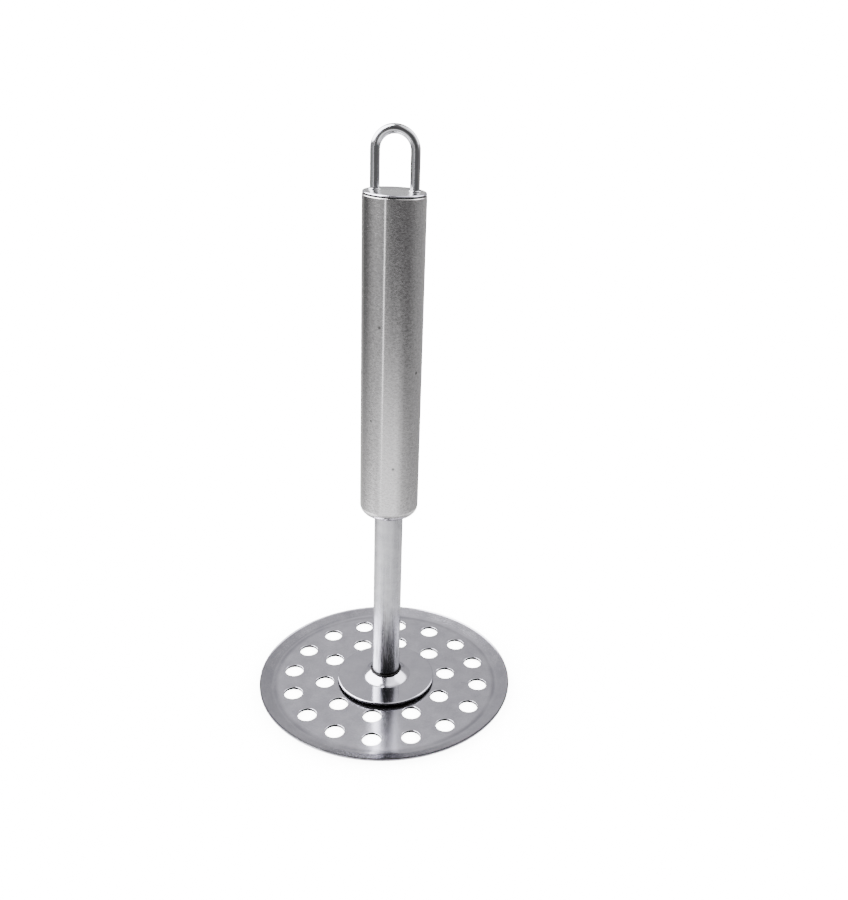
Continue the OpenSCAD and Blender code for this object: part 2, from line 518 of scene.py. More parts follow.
# The stem's drawn tube is left satin, with faint runs and smears along it, and dark streaks that run
# up from its foot on one side.
SATIN_TUBE = SteelFinish(
    name="satin stainless tube", colour="#d6d6da", shade="#b0b0b6",
    roughness=0.3, roughness_swing=0.06, grain=Grain.ALONG_TUBE, grain_mm=0.5,
    mark_depth_mm=0.003, patch_mm=3.2,
    stain=Stain(colour="#484849", foot_mm=7.0, top_mm=39.0, turn=-55.0, spread=100.0),
)
# The pressed cap: a matt face inside a rim that the buffing wheel has caught.
CAP_SHEET = SteelFinish(
    name="matt pressed stainless cap", colour="#d8d8db", shade="#c4c4c8",
    roughness=0.26, roughness_swing=0.05, grain=Grain.NONE, grain_mm=0.25,
    mark_depth_mm=0.002, patch_mm=4.0,
)
# Bright drawn wire: nearly a mirror, with hair lines along it.
BRIGHT_WIRE = SteelFinish(
    name="bright drawn stainless wire", colour="#cacace", shade="#b8b8bd",
    roughness=0.13, roughness_swing=0.04, grain=Grain.ALONG_TUBE, grain_mm=0.25,
    mark_depth_mm=0.001, patch_mm=5.0,
)
# Weld metal that was only wired off: grey, rough and blotched; on the handle's downward faces it is
# painted shade.
WELD_BEAD_AND_SHADE = SteelFinish(
    name="wire brushed weld bead", colour="#8f8e93", shade="#4b4a4e",
    roughness=0.38, roughness_swing=0.1, grain=Grain.NONE, grain_mm=0.4,
    mark_depth_mm=0.03, patch_mm=1.6,
)
# Scorched weld metal, nearly black between its bright flecks, and darker still as painted shade in
# the crevice at the stem's foot and round the loop's legs.
SCORCHED_AND_SHADED_BEAD = SteelFinish(
    name="scorched weld bead", colour="#2e2d2e", shade="#0d0d0e",
    roughness=0.45, roughness_swing=0.1, grain=Grain.NONE, grain_mm=0.3,
    mark_depth_mm=0.03, patch_mm=1.2,
)
# The wall that a punch or shear leaves, torn and dull, made near black as painted shade: in the
# holes, under the flange, in the cap's groove, and as a dark line along the plate's edge.
SHEARED_EDGE_AND_SHADE = SteelFinish(
    name="sheared stainless edge", colour="#39393b", shade="#19191a",
    roughness=0.42, roughness_swing=0.1, grain=Grain.ALONG_TUBE, grain_mm=0.2,
    mark_depth_mm=0.01, patch_mm=1.2,
)
# A turned ring that is never seen outside: plain, with fine tool marks.
TURNED_RING = SteelFinish(
    name="turned stainless ring", colour="#bcbcc0", shade="#a5a5aa",
    roughness=0.34, roughness_swing=0.05, grain=Grain.ROUND_TUBE, grain_mm=0.2,
    mark_depth_mm=0.004, patch_mm=4.0,
)


def steel(finish: SteelFinish) -> Material:
    """Return the material of a finish, which is made when it is first asked for."""
    return bpy.data.materials.get(finish.name) or Coat(finish).draw()


def dress(piece: Piece, finish: SteelFinish) -> None:
    """Give a whole piece its finish."""
    piece.data.materials.clear()
    piece.data.materials.append(steel(finish))


def trim(piece: Piece, finish: SteelFinish, picks: Callable[[Face], bool]) -> None:
    """Give some of a dressed piece's faces another finish.

    Args:
        piece: The piece.
        finish: The finish of those faces.
        picks: Tells whether a face gets it.
    """
    slots = piece.data.materials
    if finish.name not in slots:
        slots.append(steel(finish))
    place = slots.find(finish.name)
    for face in piece.data.polygons:
        if picks(face):
            face.material_index = place


# ---- Node trees that shape geometry ----


class ShapeTree:
    """A Geometry Nodes tree with named inputs, run once on an object."""

    def __init__(self, name: str, **inputs: float | int | str) -> None:
        """Make the tree and its interface.

        Args:
            name: Name of the tree.
            inputs: By name, each input's starting number, or its kind of data.
        """
        self.tree = bpy.data.node_groups.new(name, "GeometryNodeTree")
        face = self.tree.interface
        face.new_socket(name="Geometry", in_out="INPUT", socket_type="NodeSocketGeometry")
        self.ids: dict[str, str] = {}
        for label, value in inputs.items():
            kind = value if isinstance(value, str) else type(value).__name__.title()
            socket = face.new_socket(name=label, in_out="INPUT", socket_type="NodeSocket" + kind)
            if kind != value:
                socket.default_value = value
            self.ids[label] = socket.identifier
        face.new_socket(name="Geometry", in_out="OUTPUT", socket_type="NodeSocketGeometry")
        self.given = self.tree.nodes.new("NodeGroupInput").outputs
        self.end = self.tree.nodes.new("NodeGroupOutput")

    def add(self, kind: str, *feeds: Any, **named: Any) -> Node:
        """Add a node to this tree."""
        return add_node(self.tree, kind, *feeds, **named)

    def close(self, geometry: Node, walls: bool = False) -> None:
        """End the tree in Realize Instances and Set Material.

        Args:
            geometry: What the tree has made.
            walls: Whether upright walls near the axis get their own material.
        """
        real = self.add("RealizeInstances", geometry)
        dressed = self.add("SetMaterial", real, material=self.given["material"])
        if walls:
            metal = self.given["wall_material"]
            dressed = self.add("SetMaterial", dressed, selection=self._upright(), material=metal)
        self.tree.links.new(dressed.outputs[0], self.end.inputs[0])

    def _upright(self) -> Node:
        """Select the steep faces that lie within the given radius."""
        facing = self.add("SeparateXYZ", self.add("InputNormal")).outputs["Z"]
        level = self.add("Math", facing, operation="ABSOLUTE")
        steep = self.add("Math", level, 0.5, operation="LESS_THAN")
        reach = axis_distance(self.tree, self.add("InputPosition"))
        near = self.add("Math", reach, self.given["walls_within"], operation="LESS_THAN")
        return self.add("Math", steep, near, operation="MULTIPLY")

    def copies(self, thing: Source, count: str, radius: str, height: str) -> Node:
        """Add copies of a thing, evenly spaced on a level circle.

        Args:
            thing: What is copied.
            count: Name of the input for the number of copies.
            radius: Name of the input for the circle's radius.
            height: Name of the input for the circle's height.

        Returns:
            The node that gives the copies.
        """
        number, turn = self.given[count], self.given["turn"]
        step = self.add("Math", math.tau, number, operation="DIVIDE")
        angle = self.add("Math", self.add("InputIndex"), step, turn, operation="MULTIPLY_ADD")
        sides = []
        for operation in ("COSINE", "SINE"):
            share = self.add("Math", angle, operation=operation)
            sides.append(self.add("Math", share, self.given[radius], operation="MULTIPLY"))
        spot = self.add("CombineXYZ", *sides, self.given[height])
        return self.add("InstanceOnPoints", self.add("Points", number, spot), instance=thing)

    def run(self, piece: Piece, **values: Any) -> None:
        """Run the tree on a piece and keep the result as its mesh.

        Args:
            piece: The object that the tree works on.
            values: Input values by name.
        """
        step = piece.modifiers.new(self.tree.name, "NODES")
        step.node_group = self.tree
        for label, value in values.items():
            step[self.ids[label]] = value
        piece.update_tag()
        freeze(piece)


def punching_tree() -> ShapeTree:
    """Make the tree that punches a ring of holes in a blank.

    Returns:
        The tree: one punch, copied round a circle, cuts the blank.
    """
    shape = ShapeTree(
        "punch a ring of holes", punch="Object", holes=1, ring_radius=0.01, turn=0.0,
        lift=0.0, walls_within=0.0, material="Material", wall_material="Material",
    )
    punch = shape.add("ObjectInfo", shape.given["punch"]).outputs["Geometry"]
    tools = shape.add("RealizeInstances", shape.copies(punch, "holes", "ring_radius", "lift"))
    blank = shape.given["Geometry"]
    cut = shape.add("MeshBoolean", blank, tools, operation="DIFFERENCE", solver="EXACT")
    shape.close(cut, walls=True)
    return shape


def wire_tree() -> ShapeTree:
    """Make the tree that bends a wire into a U.

    Returns:
        The tree: two legs and an arch, joined into one line and swept.
    """
    shape = ShapeTree(
        "bend a wire loop", wire_radius=0.001, arch_radius=0.006, leg_foot=0.0,
        arch_height=0.02, steps_round=32, steps_over_the_arch=49, material="Material",
    )
    arch, height = shape.given["arch_radius"], shape.given["arch_height"]
    steps = shape.given["steps_over_the_arch"]
    bow = shape.add("CurveArc", steps, radius=arch, start_angle=0.0, sweep_angle=math.pi)
    lift = shape.add("CombineXYZ", z=height)
    stood = shape.add("Transform", bow, translation=lift, rotation=(math.pi / 2, 0.0, 0.0))
    lines = [shape.add("CurveToMesh", stood)]
    for side in (-1.0, 1.0):
        reach = shape.add("Math", arch, side, operation="MULTIPLY")
        foot = shape.add("CombineXYZ", x=reach, z=shape.given["leg_foot"])
        knee = shape.add("CombineXYZ", x=reach, z=height)
        leg = shape.add("CurvePrimitiveLine", foot, knee)
        lines.append(shape.add("CurveToMesh", shape.add("ResampleCurve", leg, count=13)))
    joined = shape.add("JoinGeometry")
    for line in lines:
        shape.tree.links.new(line.outputs[0], joined.inputs[0])
    welded = shape.add("MergeByDistance", joined, distance=0.01 * MM)
    path = shape.add("MeshToCurve", welded)
    steps, radius = shape.given["steps_round"], shape.given["wire_radius"]
    section = shape.add("CurvePrimitiveCircle", resolution=steps, radius=radius)
    shape.close(shape.add("CurveToMesh", path, section, fill_caps=True))
    return shape


def bead_tree() -> ShapeTree:
    """Make the tree that lays weld beads round one or more rods.

    Returns:
        The tree: a rippled, lumpy ring, copied to places on a circle.
    """
    shape = ShapeTree(
        "lay a weld bead", ring_radius=0.005, bead_radius=0.0005, height=0.0,
        lump_size=0.0008, lump_height=0.0001, seed=3.0, places=1, places_radius=0.0,
        turn=0.0, material="Material",
    )
    given = shape.given
    ring = shape.add("CurvePrimitiveCircle", resolution=144, radius=given["ring_radius"])
    section = shape.add("CurvePrimitiveCircle", resolution=20, radius=given["bead_radius"])
    plain = shape.add("CurveToMesh", ring, section)
    pitch = shape.add("Math", 1.0, given["lump_size"], operation="DIVIDE")
    place = shape.add("InputPosition")
    lumps = shape.add(
        "TexNoise", place, given["seed"], noise_dimensions="4D", scale=pitch, detail=2.0
    )
    centred = shape.add("Math", lumps, 0.5, operation="SUBTRACT")
    push = shape.add("Math", centred, given["lump_height"], operation="MULTIPLY")
    offset = shape.add("VectorMath", shape.add("InputNormal"), push, operation="SCALE")
    lumpy = shape.add("SetPosition", plain, offset=offset)
    shape.close(shape.copies(lumpy, "places", "places_radius", "height"))
    return shape


@dataclass
class Workshop:
    """The shaping trees that the pieces share.

    Attributes:
        punching: Punches a ring of holes.
        bending: Bends the wire loop.
        beading: Lays weld beads.
    """

    punching: ShapeTree = field(default_factory=punching_tree)
    bending: ShapeTree = field(default_factory=wire_tree)
    beading: ShapeTree = field(default_factory=bead_tree)

    def punch(
        self,
        blank: Piece,
        tool: Piece,
        ring: tuple[int, float, float],
        finish: SteelFinish,
        walls_within: float = 0.0,
    ) -> None:
        """Punch a ring of holes in a blank.

        Args:
            blank: The piece that is punched.
            tool: The punch, standing on the axis.
            ring: Number of holes, radius of their ring and turn of the first.
            finish: The blank's finish.
            walls_within: Radius inside which upright walls get the near-black sheared finish, as
                painted shade.
        """
        holes, radius, turn = ring
        # The upright walls of the holes, and the step under the flange, get the near-black sheared
        # finish as painted shade.
        self.punching.run(
            blank, punch=tool, holes=holes, ring_radius=radius, turn=turn,
            walls_within=walls_within, material=steel(finish), wall_material=steel(SHEARED_EDGE_AND_SHADE),
        )

    def bead(self, name: str, finish: SteelFinish, **values: float) -> Piece:
        """Lay a weld bead, or one in each of several places.

        Args:
            name: Name of the new piece.
            finish: Its finish.
            values: Values of the beading tree's inputs, by name.

        Returns:
            The piece.
        """
        made = blank_object(name)
        self.beading.run(made, **values, material=steel(finish))
        return made


# ---- The masher's pieces ----


@dataclass
class PlateAndFlange:
    """The pressed plate with its punched holes, and the flange on its pad.

    Attributes:
        shop: Shared trees.
        sheet: Thickness of the plate.
        brim: Width of the turned-up brim.
        bend_share: Part of the brim that is bend rather than slope.
        edge_share: Rounding of the plate's edge, as a share of its thickness.
        edge_line: Width of the dark line painted just inside the edge.
        pad_inset: How far the pad stays inside the flange's rim.
        step: Width of the step up to the pad.
        hole_radius: Radius of the punched holes.
        roll_in: Rounding that the punch leaves on a hole's upper edge.
        hole_burr: Width of the burr on a hole's lower edge.
        flange_sheet: Thickness of the flange.
        flange_edge: Rounding of the flange's upper edge.
        neck: Width of the flange's raised neck.
        neck_curve: How hollow the neck's slope is; 1 is a plain cone.
        gap: Clearance between flange and stem.
        spots: Number of spot welds between flange and pad.
        spot_radius: Radius of a spot weld.
        spot_mark: Depth of the mark that each leaves under the pad.
        spot_ball: Radius of the electrode's domed end.
        bead_share: Radius of the foot's bead, as a share of the CAD bead's width.
    """

    shop: Workshop
    sheet: float = 1.0 * MM
    brim: float = 6.0 * MM
    bend_share: float = 0.35
    edge_share: float = 0.32
    edge_line: float = 0.1 * MM
    pad_inset: float = 3.3 * MM
    step: float = 1.1 * MM
    hole_radius: float = 3.5 * MM
    roll_in: float = 0.14 * MM
    hole_burr: float = 0.03 * MM
    flange_sheet: float = 0.9 * MM
    flange_edge: float = 0.4 * MM
    neck: float = 4.3 * MM
    neck_curve: float = 1.35
    gap: float = 0.05 * MM
    spots: int = 4
    spot_radius: float = 2.0 * MM
    spot_mark: float = 0.12 * MM
    spot_ball: float = 14.0 * MM
    bead_share: float = 0.58

    def build(self) -> None:
        """Build the plate, the flange and the bead round the stem's foot."""
        self._plate()
        self._flange()
        self._bead()

    def _web_end(self) -> float:
        """Return the radius where the flat web meets the brim."""
        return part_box("mashing_plate")[1].x - self.brim

    def _brim_height(self, share: float) -> float:
        """Return the brim's height above the web at a share of its width."""
        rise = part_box("mashing_plate")[1].z - self.sheet
        bend = self.bend_share
        shape = share * share / (2 * bend) if share < bend else share - bend / 2
        return rise * shape / (1 - bend / 2)

    def _web_line(self, height: float) -> list[Point]:
        """Return the sheet's line at a height, from the pad's edge to the brim's."""
        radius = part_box("mashing_plate")[1].x
        pad_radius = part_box("flange")[1].x - self.pad_inset
        pad_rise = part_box("flange")[0].z - self.sheet
        web_end = self._web_end()
        step = [
            (pad_radius + self.step * s, height + pad_rise * (1 - s * s * (3 - 2 * s)))
            for s in evenly(0.0, 1.0, 12)
        ]
        web = [(r, height) for r in evenly(pad_radius + self.step, web_end, 6)[1:-1]]
        brim = [
            (web_end + self.brim * s, height + self._brim_height(s)) for s in evenly(0.0, 1.0, 20)
        ]
        last = radius - self.edge_share * self.sheet * 1.05
        return step + web + [point for point in brim if point[0] < last]

    def _plate_profile(self) -> list[Point]:
        """Return the plate's closed profile, from the pad's middle outwards."""
        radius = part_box("mashing_plate")[1].x
        pad_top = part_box("flange")[0].z
        edge = self.edge_share * self.sheet
        tip = self._brim_height(1)
        tilt = math.degrees(math.atan2(tip - self._brim_height(0.95), 0.05 * self.brim))
        low_edge = arc((radius - edge, tip + edge * 0.9), edge, -90 + tilt, 0, 6)
        top_edge = arc((radius - edge, self.sheet + tip - edge), edge, 0, 90 + tilt / 3, 6)
        bottom = [(0.0, pad_top - self.sheet)] + self._web_line(0.0)
        top = [(0.0, pad_top)] + self._web_line(self.sheet)
        return bottom + low_edge + top_edge + top[::-1]

    def _punch_tool(self) -> Piece:
        """Return a punch whose cut has a rounded upper edge."""
        r, roll, burr = self.hole_radius, self.roll_in, self.hole_burr
        foot, head, flare = -1.0 * MM, self.sheet + 0.3 * MM, 0.02 * MM
        lead = arc((r + roll, self.sheet - roll), roll, 180, 100, 6)
        below = [(0.0, foot), (r + 2 * burr, foot), (r + burr, 0.0), (r, burr)]
        above = [(lead[-1][0] + flare, head), (0.0, head)]
        return lathe("hole punch", below + lead + above, 64)

    def _electrode(self) -> Piece:
        """Return the domed tool that marks the pad's underside at a spot weld."""
        ball, depth = self.spot_ball, self.spot_mark
        dome = 2.2 * depth
        half = math.degrees(math.acos(1 - dome / ball))
        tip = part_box("flange")[0].z - self.sheet + depth
        cap = arc((0.0, tip - ball), ball, 90 - half, 90, 10)
        return lathe("weld electrode", [(0.0, cap[0][1]), *cap[:-1], (0.0, tip)], 32)

    def _holes(self, prefix: str) -> tuple[int, float, float]:
        """Read a ring of holes from the record's openings.

        Args:
            prefix: Start of the openings' names.

        Returns:
            Number of holes, ring radius and turn of the first hole.
        """
        boxes = [
            opening["box_m"]
            for opening in frame["record"]["physics"]["openings"]
            if opening["name"].startswith(prefix)
        ]
        low, high = boxes[0]
        x, y = (low[0] + high[0]) / 2, (low[1] + high[1]) / 2
        return len(boxes), math.hypot(x, y), math.atan2(y, x)

    def _plate(self) -> None:
        """Build the perforated plate."""
        plate = lathe("perforated_plate", self._plate_profile(), 256)
        punch, electrode = self._punch_tool(), self._electrode()
        reach = (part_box("spot_welds")[1].x - self.spot_radius) / math.cos(math.pi / self.spots)
        jobs = [(punch, self._holes(prefix)) for prefix in ("outer_hole", "inner_hole")]
        jobs.append((electrode, (self.spots, reach, math.pi / self.spots)))
        for tool, ring in jobs:
            self.shop.punch(plate, tool, ring, SHEET, self._web_end())
        for spent in (punch, electrode):
            bpy.data.objects.remove(spent)
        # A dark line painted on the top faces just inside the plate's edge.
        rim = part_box("mashing_plate")[1].x - self.edge_share * self.sheet - self.edge_line
        upward = 0.6
        trim(plate, SHEARED_EDGE_AND_SHADE, lambda face: reach_of(face) > rim and face.normal.z > upward)
        hand_over(plate, "plate_steel", "mashing_plate")

    def _flange(self) -> None:
        """Build the flange: a flat rim with a round edge and a raised neck."""
        low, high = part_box("flange")
        rim = high.x
        flat_top = low.z + self.flange_sheet
        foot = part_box("stem_tube")[1].x + self.gap + self.neck
        rise = high.z - flat_top
        neck = [(foot - self.neck * s, rise * s**self.neck_curve) for s in evenly(0.0, 1.0, 24)]
        edge = self.flange_edge
        burr = 0.12 * edge
        outer = arc((rim - burr, low.z + burr), burr, -90, 0, 4)
        outer += arc((rim - edge, flat_top - edge), edge, 0, 90, 8)
        flats = evenly(foot, rim - edge, 4)[1:-1]
        profile = (
            [(r, low.z) for r in flats]
            + outer
            + [(r, flat_top) for r in flats[::-1]]
            + [(r, flat_top + z) for r, z in neck]
            + [(r, low.z + z) for r, z in neck[::-1]]
        )
        flange = lathe("seat_flange", profile, 192)
        dress(flange, BUFFED_SHEET)
        # Painted shade: the flange's underside and the wall of its rim get the near-black sheared
        # finish.
        downward, level = -0.3, 0.1
        trim(flange, SHEARED_EDGE_AND_SHADE, lambda face: face.normal.z < downward)
        trim(
            flange,
            SHEARED_EDGE_AND_SHADE,
            lambda face: face.normal.z < level and reach_of(face) > rim - burr,
        )
        hand_over(flange, "flange_steel", "flange")

    def _bead(self) -> None:
        """Build the bead where the stem stands in the neck, near black: scorched metal and painted
        shade of the crevice.
        """
        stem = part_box("stem_tube")[1].x
        size = (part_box("stem_weld")[1].x - stem) * self.bead_share
        bead = self.shop.bead(
            "stem_foot_weld", SCORCHED_AND_SHADED_BEAD,
            ring_radius=stem + size * 0.45, bead_radius=size, height=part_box("flange")[1].z,
            lump_size=1.3 * MM, lump_height=0.55 * MM, seed=4.0,
        )
        hand_over(bead, "weld_metal", "stem_weld")


@dataclass
class StemAndHandle:
    """The two tubes, the cap and the wire loop.

    Attributes:
        shop: Shared trees.
        stem_wall: Wall of the stem tube.
        stem_ease: Rounding of the stem's cut ends.
        handle_wall: Wall of the handle tube.
        corner: Outer radius of the handle's drawn-in corner.
        handle_edge: Rounding of the handle's upper edge.
        underside: Faces of the handle that point further down than this get the darker weld finish
            as painted shade.
        cap_edge: Rounding of the cap's rim.
        cap_wall: Wall of the cap.
        cap_rim: Height of the cap's rim.
        cap_groove: Rounding under the rim, which leaves a groove above the tube.
        gap: Clearance of stem and legs in their holes.
        plug_gap: Clearance of the cap's skirt in the handle.
        seam: Width of the dark ring of painted shadow round each leg, on its bead.
    """

    shop: Workshop
    stem_wall: float = 0.8 * MM
    stem_ease: float = 0.1 * MM
    handle_wall: float = 0.7 * MM
    corner: float = 3.5 * MM
    handle_edge: float = 0.35 * MM
    underside: float = -0.72
    cap_edge: float = 0.5 * MM
    cap_wall: float = 1.0 * MM
    cap_rim: float = 1.0 * MM
    cap_groove: float = 0.42 * MM
    gap: float = 0.05 * MM
    plug_gap: float = 0.03 * MM
    seam: float = 0.2 * MM

    def build(self) -> None:
        """Build the stem, the handle, the cap, the loop and their beads."""
        self._stem()
        self._handle()
        self._cap()
        self._loop()
        self._beads()
        self._hidden_nodes()

    def _stem(self) -> None:
        """Build the stem tube."""
        low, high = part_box("stem_tube")
        outer, inner, ease = high.x, high.x - self.stem_wall, self.stem_ease
        profile = (
            [(inner, low.z), (outer - ease, low.z)]
            + [(outer, z) for z in evenly(low.z + ease, high.z - ease, 24)]
            + [(outer - ease, high.z), (inner, high.z)]
        )
        stem = lathe("stem", profile, 128)
        dress(stem, SATIN_TUBE)
        hand_over(stem, "stem_steel", "stem_tube")

    def _handle(self) -> None:
        """Build the handle tube with its drawn-in lower end."""
        low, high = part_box("handle_tube")
        outer, wall, edge = high.x, self.handle_wall, self.handle_edge
        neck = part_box("stem_tube")[1].x + self.gap
        corner = (outer - self.corner, low.z + self.corner)
        profile = (
            [(neck, low.z)]
            + arc(corner, self.corner, -90, 0, 20)
            + [(outer, z) for z in evenly(corner[1], high.z - edge, 24)[1:-1]]
            + arc((outer - edge, high.z - edge), edge, 0, 90, 6)
            + [(outer - wall, high.z)]
            + arc(corner, self.corner - wall, 0, -90, 12)
            + [(neck, low.z + wall)]
        )
        handle = lathe("hollow_handle", profile, 192)
        dress(handle, BRUSHED_TUBE)
        # Painted shade: the handle's downward faces get the darker weld finish.
        trim(handle, WELD_BEAD_AND_SHADE, lambda face: face.normal.z < self.underside)
        hand_over(handle, "handle_steel", "handle_tube")

    def _arch(self) -> tuple[float, float]:
        """Return the wire's radius and the arch's centreline radius."""
        low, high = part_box("hanging_loop")
        wire = (high.y - low.y) / 2
        return wire, (high.x - low.x) / 2 - wire

    def _cap(self) -> None:
        """Build the end cap, with the two holes for the loop's legs."""
        low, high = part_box("end_cap")
        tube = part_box("handle_tube")[1]
        rim, seat, under = high.x, tube.z, self.cap_groove
        plug = tube.x - self.handle_wall - self.plug_gap
        dome_edge, face_edge = seat + self.cap_rim, rim - self.cap_edge
        shoulder, ceiling = dome_edge - self.cap_edge, dome_edge - self.cap_wall
        profile = (
            [
                (face_edge * s, dome_edge + (high.z - dome_edge) * (1 - s**2))
                for s in evenly(0.0, 1.0, 24)
            ]
            + arc((face_edge, shoulder), self.cap_edge, 90, 0, 8)[1:]
            + arc((rim - under, seat + under), under, 0, -90, 4)
            + [(plug, seat), (plug, low.z), (plug - self.cap_wall, low.z)]
            + [(plug - self.cap_wall, ceiling), (0.0, ceiling)]
        )
        cap = lathe("end_cap_shell", profile, 192)
        wire, arch = self._arch()
        bore, top = wire + self.gap, high.z + 1.0 * MM
        drill = lathe("leg drill", [(0.0, low.z), (bore, low.z), (bore, top), (0.0, top)], 48)
        self.shop.punch(cap, drill, (2, arch, 0.0), CAP_SHEET)
        bpy.data.objects.remove(drill)
        trim(cap, BUFFED_SHEET, lambda face: reach_of(face) > face_edge and face.center.z > shoulder)
        # Painted shade: the groove under the cap's rim gets the near-black sheared finish.
        trim(
            cap,
            SHEARED_EDGE_AND_SHADE,
            lambda face: reach_of(face) > plug and seat - self.gap < face.center.z < seat + under,
        )
        hand_over(cap, "cap_steel", "end_cap")

    def _loop(self) -> None:
        """Build the hanging loop from one bent wire."""
        low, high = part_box("hanging_loop")
        wire, arch = self._arch()
        loop = blank_object("wire_loop")
        self.shop.bending.run(
            loop, wire_radius=wire, arch_radius=arch,
            leg_foot=low.z, arch_height=high.z - wire - arch,
            steps_round=40, steps_over_the_arch=65, material=steel(BRIGHT_WIRE),
        )
        hand_over(loop, "wire_steel", "hanging_loop")

    def _beads(self) -> None:
        """Build the beads under the handle and round the loop's legs."""
        neck = self.shop.bead(
            "handle_neck_bead", WELD_BEAD_AND_SHADE,
            ring_radius=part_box("stem_tube")[1].x + 0.3 * MM, bead_radius=0.62 * MM,
            height=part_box("handle_tube")[0].z - 0.25 * MM,
            lump_size=1.3 * MM, lump_height=0.2 * MM, seed=9.0,
        )
        hand_over(neck, "weld_metal", "handle_neck_weld")
        wire, arch = self._arch()
        legs = self.shop.bead(
            "leg_beads", BRIGHT_WIRE,
            ring_radius=wire + 0.12 * MM, bead_radius=0.38 * MM,
            height=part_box("end_cap")[1].z - 0.14 * MM,
            lump_size=1.1 * MM, lump_height=0.22 * MM, seed=2.0, places=2, places_radius=arch,
        )
        # Painted shadow: a dark ring on the bead round each leg, where it enters the cap.
        seam = wire + self.seam
        trim(
            legs,
            SCORCHED_AND_SHADED_BEAD,
            lambda face: math.hypot(abs(face.center.x) - arch, face.center.y) < seam,
        )
        hand_over(legs, "weld_metal", "loop_leg_welds")

    def _hidden_nodes(self) -> None:
        """Dress the CAD nodes that stay as they are, inside the masher."""
        for node, finish in (("spot_welds", WELD_BEAD_AND_SHADE), ("stem_guide_ring", TURNED_RING)):
            dress(frame["nodes"][node], finish)
            log.info("%s keeps its CAD shape", node)


# ---- Studio ----


@dataclass(frozen=True)
class Viewpoint:
    """Where the camera stands and how it looks.

    Attributes:
        azimuth: Direction of the camera from the masher, in degrees from -Y
            towards +X.
        distance: Distance from the stem's axis, along the floor.
        height: Height above the floor.
        yaw: Turn away from the axis, in degrees.
        pitch: Downward tilt in degrees.
        roll: Roll in degrees.
        lens_mm: Focal length.
        sensor_mm: Width of the sensor.
        shift: Sideways and upward shift of the picture.
    """

    azimuth: float = 7.42
    distance: float = 312.1 * MM
    height: float = 235.9 * MM
    yaw: float = 6.29
    pitch: float = 23.55
    roll: float = 3.58
    lens_mm: float = 37.91
    sensor_mm: float = 36.0
    shift: Point = (-0.0684, 0.0044)

    def place(self) -> None:
        """Put the camera in the scene and make it the scene's own."""
        turns = ((-self.yaw, "Z"), (90.0 - self.pitch, "X"), (self.roll, "Z"))
        pose = Matrix.Rotation(math.radians(self.azimuth), 4, "Z")
        pose @= Matrix.Translation((0.0, -self.distance, self.height))
        for angle, axis in turns:
            pose @= Matrix.Rotation(math.radians(angle), 4, axis)
        data = bpy.data.cameras.new("camera")
        data.lens = self.lens_mm
        data.sensor_width = self.sensor_mm
        data.shift_x, data.shift_y = self.shift
        data.clip_start = 5.0 * MM
        camera = bpy.data.objects.new("camera", data)
        camera.matrix_world = pose
        bpy.context.scene.collection.objects.link(camera)
        bpy.context.scene.camera = camera


@dataclass(frozen=True)
class Panel:
    """A light or dark panel that stands in the room.

    Attributes:
        azimuth: Direction of its middle, counted as in the rings.
        elevation: Height of its middle above the horizon, in degrees.
        width: Its width in degrees.
        height: Its height in degrees.
        lean: Degrees that it leans aside for each degree of height.
        level: Its brightness.
        softness: Width of its soft edge, in degrees.
    """

    azimuth: float
    elevation: float
    width: float
    height: float
    lean: float
    level: float
    softness: float


# How bright the room is all the way round, by height in degrees above the horizon.
# Each pair is a direction in degrees, counted from the camera's side and positive
# towards its right, and the brightness there. The floor is bright under the masher
# and falls off with distance; the walls are dark in front and grey behind.
RINGS = {
    -60: ((-180, 0.9), (-90, 1.2), (-20, 0.7), (25, 0.6), (60, 0.5), (120, 0.6), (180, 0.9)),
    -34: (
        (-180, 2.2), (-120, 2.2), (-100, 3.8), (-70, 5.0), (-48, 2.4), (-22, 1.6), (0, 1.35),
        (67, 1.8), (97, 1.8), (127, 1.8), (180, 2.2),
    ),
    -27: (
        (-180, 1.2), (-127, 0.8), (-82, 0.95), (-52, 1.3), (-35, 2.4), (-15, 2.8), (22, 2.6),
        (37, 1.8), (52, 0.95), (82, 0.58), (150, 0.5), (180, 1.2),
    ),
    -17: (
        (-180, 0.7), (-145, 0.6), (-127, 0.23), (-105, 0.27), (-82, 0.46), (-52, 0.5),
        (-22, 0.26), (0, 0.12), (22, 0.13), (40, 0.13), (60, 0.17), (97, 0.42), (150, 0.55),
        (180, 0.7),
    ),
    -7: (
        (-180, 0.5), (-142, 0.36), (-127, 0.12), (-110, 0.14), (-90, 0.36), (-67, 0.66),
        (-40, 0.55), (-22, 0.3), (-7, 0.22), (10, 0.19), (37, 0.17), (60, 0.2), (90, 0.34),
        (127, 0.5), (160, 0.6), (180, 0.5),
    ),
    1: (
        (-180, 0.08), (-172, 0.1), (-164, 0.6), (-60, 0.5), (-35, 0.3), (-22, 0.15), (10, 0.1),
        (30, 0.12), (52, 0.24), (67, 0.36), (90, 0.6), (145, 0.6), (164, 0.5), (172, 0.1),
        (180, 0.08),
    ),
    9: (
        (-180, 0.78), (-140, 0.66), (-60, 0.5), (-35, 0.3), (-22, 0.15), (10, 0.11), (30, 0.14),
        (52, 0.27), (67, 0.45), (90, 0.8), (145, 0.62), (165, 0.62), (180, 0.78),
    ),
    36: (
        (-180, 0.74), (-140, 0.68), (-60, 0.4), (-40, 0.2), (-22, 0.12), (10, 0.15), (37, 0.22),
        (67, 0.8), (90, 1.5), (145, 0.6), (165, 0.56), (180, 0.74),
    ),
    60: (
        (-180, 1.2), (-140, 1.0), (-60, 0.5), (-35, 0.22), (-7, 0.26), (10, 0.5), (22, 1.8),
        (52, 2.4), (90, 3.0), (145, 0.9), (165, 0.6), (180, 1.2),
    ),
}
